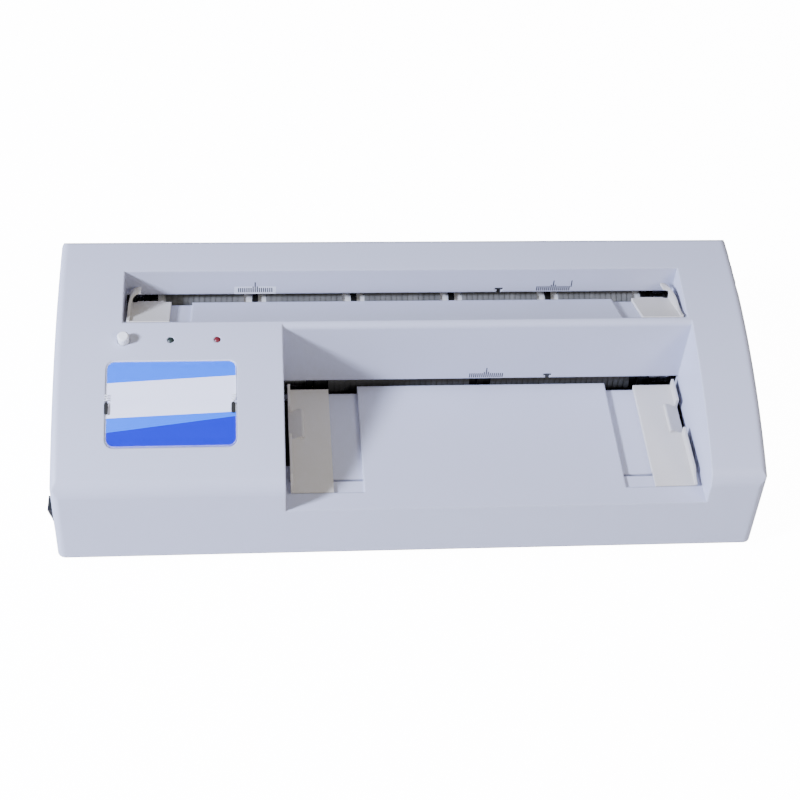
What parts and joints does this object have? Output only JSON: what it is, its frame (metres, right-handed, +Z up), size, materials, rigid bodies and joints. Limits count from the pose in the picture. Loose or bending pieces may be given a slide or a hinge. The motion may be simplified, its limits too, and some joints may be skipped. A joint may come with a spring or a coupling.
{
  "type": "business card slitter",
  "caption": "Motor-driven desktop slitter with a crowned grey housing, a sloping upper throat for sheets, a lower throat for strips, sliding paper guides and geared cutter rollers.",
  "frame": {"origin": "on the tabletop under the middle of the housing", "axes": "+X to the right along the rollers, +Y from the front to the back, +Z up"},
  "size_m": [0.3696, 0.1512, 0.088],
  "materials": {
    "cover": "pale lavender-grey moulded plastic with a fine satin grain",
    "base": "dark grey moulded plastic",
    "feet": "black rubber",
    "steel": "turned and brushed steel",
    "plate": "zinc-plated sheet steel",
    "cutter": "blackened tool steel",
    "sleeve": "grey ribbed feed rubber",
    "guide": "cream moulded plastic",
    "gear": "natural acetal",
    "brass": "plain brass and sintered bronze",
    "label": "printed card in blue and white bands",
    "window": "clear acrylic with bevelled edges",
    "green": "green tinted lens",
    "red": "red tinted lens",
    "button": "white moulded plastic",
    "board": "green board lacquer",
    "black": "black moulded plastic",
    "motor": "plated motor can"
  },
  "bodies": {
    "machine": {"top_cover": "cover", "base_tray": "base", "rubber_feet": "feet", "cover_screws": "steel", "label_card": "label", "label_window": "window", "green_lamp": "green", "red_lamp": "red", "button_spring": "steel", "push_switch": "black", "control_board": "board", "board_components": "black", "rocker_housing": "black", "power_inlet": "black", "inlet_pins": "brass", "upper_paper_sensor": "black", "lower_paper_sensor": "black", "right_plate": "plate", "middle_plate": "plate", "left_plate": "plate", "gearbox_plate": "plate", "tie_rod": "steel", "gearbox_spacers": "steel", "frame_screws": "steel", "shaft_bushes": "brass", "card_chute": "plate", "gear_studs": "steel", "stud_rings": "cutter", "drive_motor": "motor", "motor_screws": "steel"},
    "upper_drive_roller": {"upper_drive_shaft": "steel", "upper_drive_discs": "cutter", "upper_drive_collars": "steel", "upper_drive_sleeves": "sleeve", "upper_drive_gears": "gear"},
    "upper_idle_roller": {"upper_idle_shaft": "steel", "upper_idle_discs": "cutter", "upper_idle_collars": "steel", "upper_idle_sleeves": "sleeve", "upper_idle_gear": "gear"},
    "lower_drive_roller": {"lower_drive_shaft": "steel", "lower_drive_discs": "cutter", "lower_drive_collars": "steel", "lower_drive_sleeves": "sleeve", "lower_drive_gears": "gear"},
    "lower_idle_roller": {"lower_idle_shaft": "steel", "lower_idle_discs": "cutter", "lower_idle_collars": "steel", "lower_idle_sleeves": "sleeve", "lower_idle_gear": "gear"},
    "transfer": {"transfer_gear": "gear"},
    "compound": {"compound_gear": "gear"},
    "motor_rotor": {"motor_shaft": "steel", "motor_pinion": "brass"},
    "lower_left_slider": {"lower_left_guide": "guide"},
    "lower_right_slider": {"lower_right_guide": "guide"},
    "upper_left_slider": {"upper_left_guide": "guide"},
    "upper_right_slider": {"upper_right_guide": "guide"},
    "button": {"push_button": "button"},
    "rocker_arm": {"rocker": "black"}
  },
  "joints": [
    {"name": "upper_drive_spin", "type": "hinge", "parent": "machine", "child": "upper_drive_roller", "pos_m": [0, 0.0628, 0.07141], "axis": [1, 0, 0], "continuous": true},
    {"name": "upper_idle_spin", "type": "hinge", "parent": "machine", "child": "upper_idle_roller", "pos_m": [0, 0.05627, 0.05681], "axis": [1, 0, 0], "continuous": true},
    {"name": "lower_drive_spin", "type": "hinge", "parent": "machine", "child": "lower_drive_roller", "pos_m": [0, 0.0254, 0.045], "axis": [1, 0, 0], "continuous": true},
    {"name": "lower_idle_spin", "type": "hinge", "parent": "machine", "child": "lower_idle_roller", "pos_m": [0, 0.0254, 0.029], "axis": [1, 0, 0], "continuous": true},
    {"name": "transfer_spin", "type": "hinge", "parent": "machine", "child": "transfer", "pos_m": [0, 0.03994, 0.06409], "axis": [1, 0, 0], "continuous": true},
    {"name": "compound_spin", "type": "hinge", "parent": "machine", "child": "compound", "pos_m": [0, 0.00964, 0.04222], "axis": [1, 0, 0], "continuous": true},
    {"name": "motor_spin", "type": "hinge", "parent": "machine", "child": "motor_rotor", "pos_m": [0, -0.01547, 0.03549], "axis": [1, 0, 0], "continuous": true},
    {"name": "lower_left_slide", "type": "slide", "parent": "machine", "child": "lower_left_slider", "axis": [1, 0, 0], "range_m": [0, 0.015]},
    {"name": "lower_right_slide", "type": "slide", "parent": "machine", "child": "lower_right_slider", "axis": [-1, 0, 0], "range_m": [0, 0.015]},
    {"name": "upper_left_slide", "type": "slide", "parent": "machine", "child": "upper_left_slider", "axis": [1, 0, 0], "range_m": [0, 0.01]},
    {"name": "upper_right_slide", "type": "slide", "parent": "machine", "child": "upper_right_slider", "axis": [-1, 0, 0], "range_m": [0, 0.01]},
    {"name": "button_press", "type": "slide", "parent": "machine", "child": "button", "axis": [0, 0.2168, -0.9762], "range_m": [0, 0.001], "stiffness_N_per_m": 800, "springref_m": -0.0005, "deforming": ["button_spring"]},
    {"name": "rocker_tip", "type": "hinge", "parent": "machine", "child": "rocker_arm", "pos_m": [-0.1825, -0.058, 0.0205], "axis": [0, 1, 0], "range_deg": [0, 20]}
  ],
  "couplings": [
    {"joint": "upper_idle_spin", "follows": "upper_drive_spin", "ratio": -1},
    {"joint": "transfer_spin", "follows": "upper_drive_spin", "ratio": -0.5},
    {"joint": "lower_drive_spin", "follows": "upper_drive_spin", "ratio": 1},
    {"joint": "lower_idle_spin", "follows": "upper_drive_spin", "ratio": -1},
    {"joint": "compound_spin", "follows": "upper_drive_spin", "ratio": -1},
    {"joint": "motor_spin", "follows": "upper_drive_spin", "ratio": 3.3333}
  ]
}
